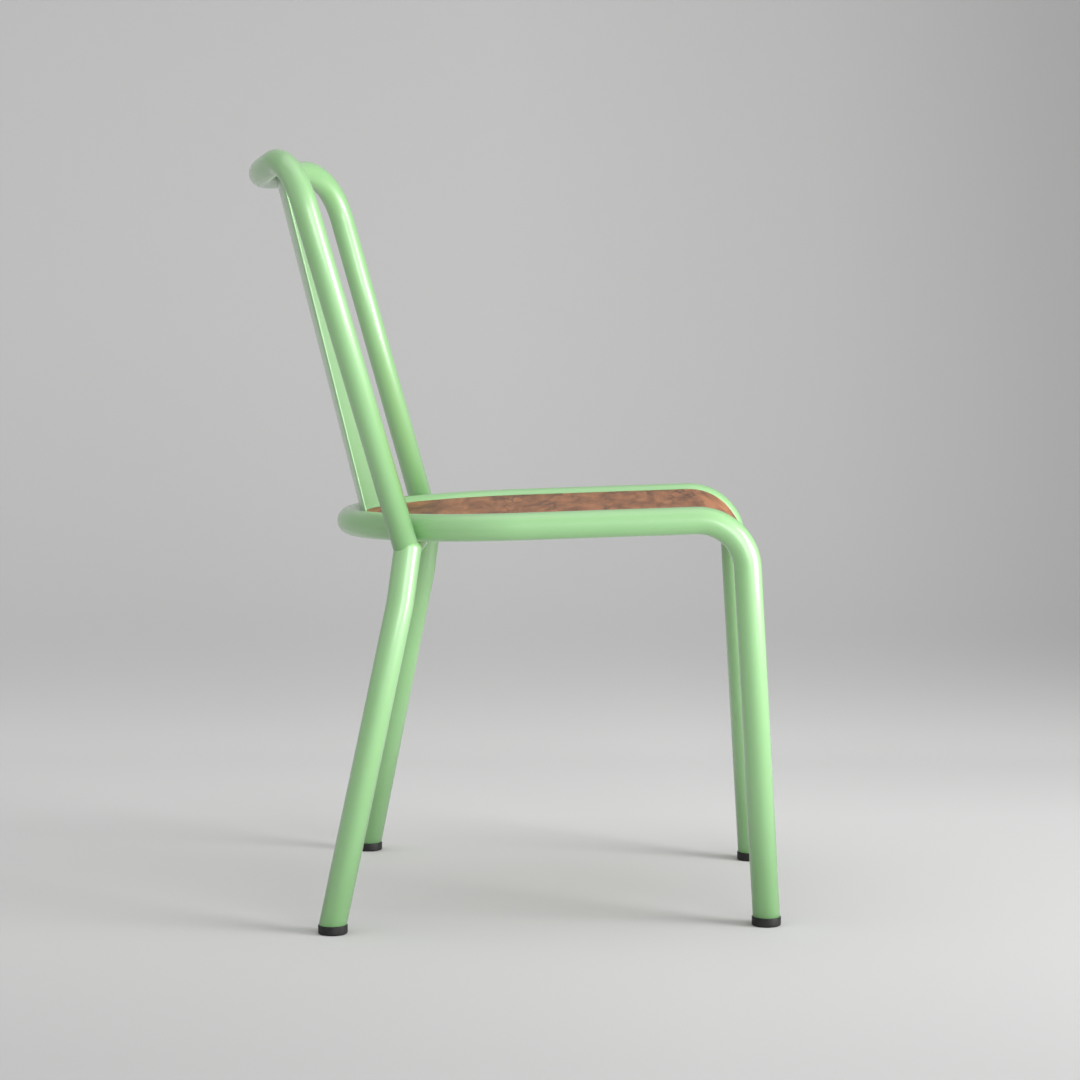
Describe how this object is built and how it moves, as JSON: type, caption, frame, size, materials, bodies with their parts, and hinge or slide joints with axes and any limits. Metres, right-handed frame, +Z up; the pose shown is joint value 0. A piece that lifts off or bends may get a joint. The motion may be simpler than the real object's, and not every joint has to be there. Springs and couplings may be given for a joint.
{
  "type": "stacking chair",
  "caption": "Armless stacking chair with a bent steel tube frame, a moulded seat board rolled down at the front and a curved sheet splat.",
  "frame": {"origin": "on the floor, under the middle of the chair's bounding box", "axes": "+Z up, the front of the seat towards -Y, the sitter's left towards +X"},
  "size_m": [0.5204, 0.5957, 0.8428],
  "materials": {
    "frame_paint": "semi-gloss powder coat in mint green",
    "seat_board": "satin varnished burr veneer in warm brown",
    "cap_rubber": "matt black",
    "screw_zinc": "bright zinc plated",
    "insert_brass": "turned"
  },
  "bodies": {
    "root": {"seat_frame_tube": "frame_paint", "back_hoop_tube": "frame_paint", "rear_leg_right": "frame_paint", "rear_leg_left": "frame_paint", "rear_cross_tube": "frame_paint", "seat_panel": "seat_board", "bracket_right_front": "frame_paint", "screw_right_front": "screw_zinc", "insert_right_front": "insert_brass", "bracket_right_middle": "frame_paint", "screw_right_middle": "screw_zinc", "insert_right_middle": "insert_brass", "bracket_right_rear": "frame_paint", "screw_right_rear": "screw_zinc", "insert_right_rear": "insert_brass", "bracket_left_front": "frame_paint", "screw_left_front": "screw_zinc", "insert_left_front": "insert_brass", "bracket_left_middle": "frame_paint", "screw_left_middle": "screw_zinc", "insert_left_middle": "insert_brass", "bracket_left_rear": "frame_paint", "screw_left_rear": "screw_zinc", "insert_left_rear": "insert_brass", "back_splat": "frame_paint", "foot_cap_front_right": "cap_rubber", "foot_cap_front_left": "cap_rubber", "foot_cap_rear_right": "cap_rubber", "foot_cap_rear_left": "cap_rubber"}
  },
  "joints": []
}
